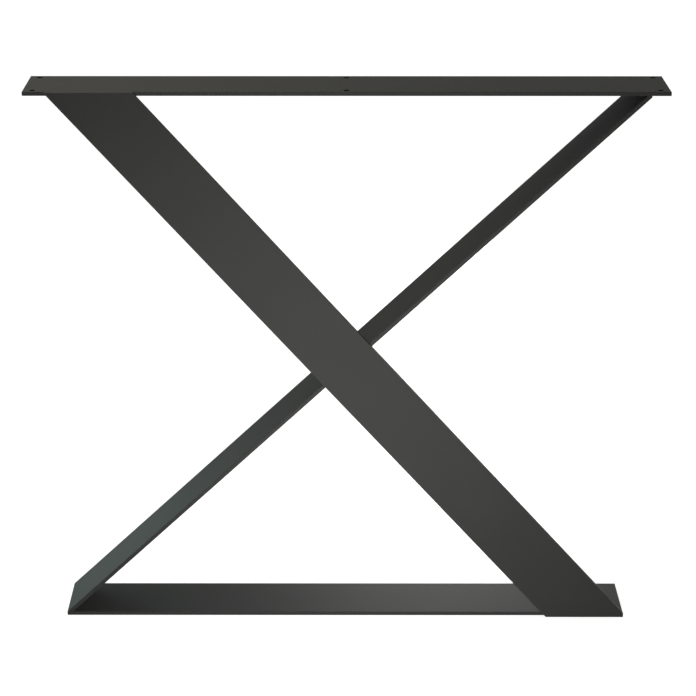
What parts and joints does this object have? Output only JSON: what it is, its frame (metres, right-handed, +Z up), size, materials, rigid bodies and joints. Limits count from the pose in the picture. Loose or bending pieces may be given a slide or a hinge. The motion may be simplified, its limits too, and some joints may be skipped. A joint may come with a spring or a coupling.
{
  "type": "x shaped table leg",
  "caption": "X-shaped table leg frame of welded flat steel bars, with a screw-on top plate and a flat floor plate.",
  "frame": {"origin": "on the floor, under the middle of the whole leg's box", "axes": "+Z up, +X along the two plates, -Y towards the side where the front strut lies flat"},
  "size_m": [0.778, 0.085, 0.71],
  "materials": {
    "powder_coat": "satin fine-textured anthracite powder coat over steel"
  },
  "bodies": {
    "root": {"top_plate": "powder_coat", "floor_plate": "powder_coat", "front_strut": "powder_coat", "rear_strut": "powder_coat", "weld_rear_strut_foot": "powder_coat", "weld_rear_strut_head": "powder_coat", "weld_front_strut_foot": "powder_coat", "weld_front_strut_head": "powder_coat", "weld_crossing_upper": "powder_coat", "weld_crossing_lower": "powder_coat"}
  },
  "joints": []
}
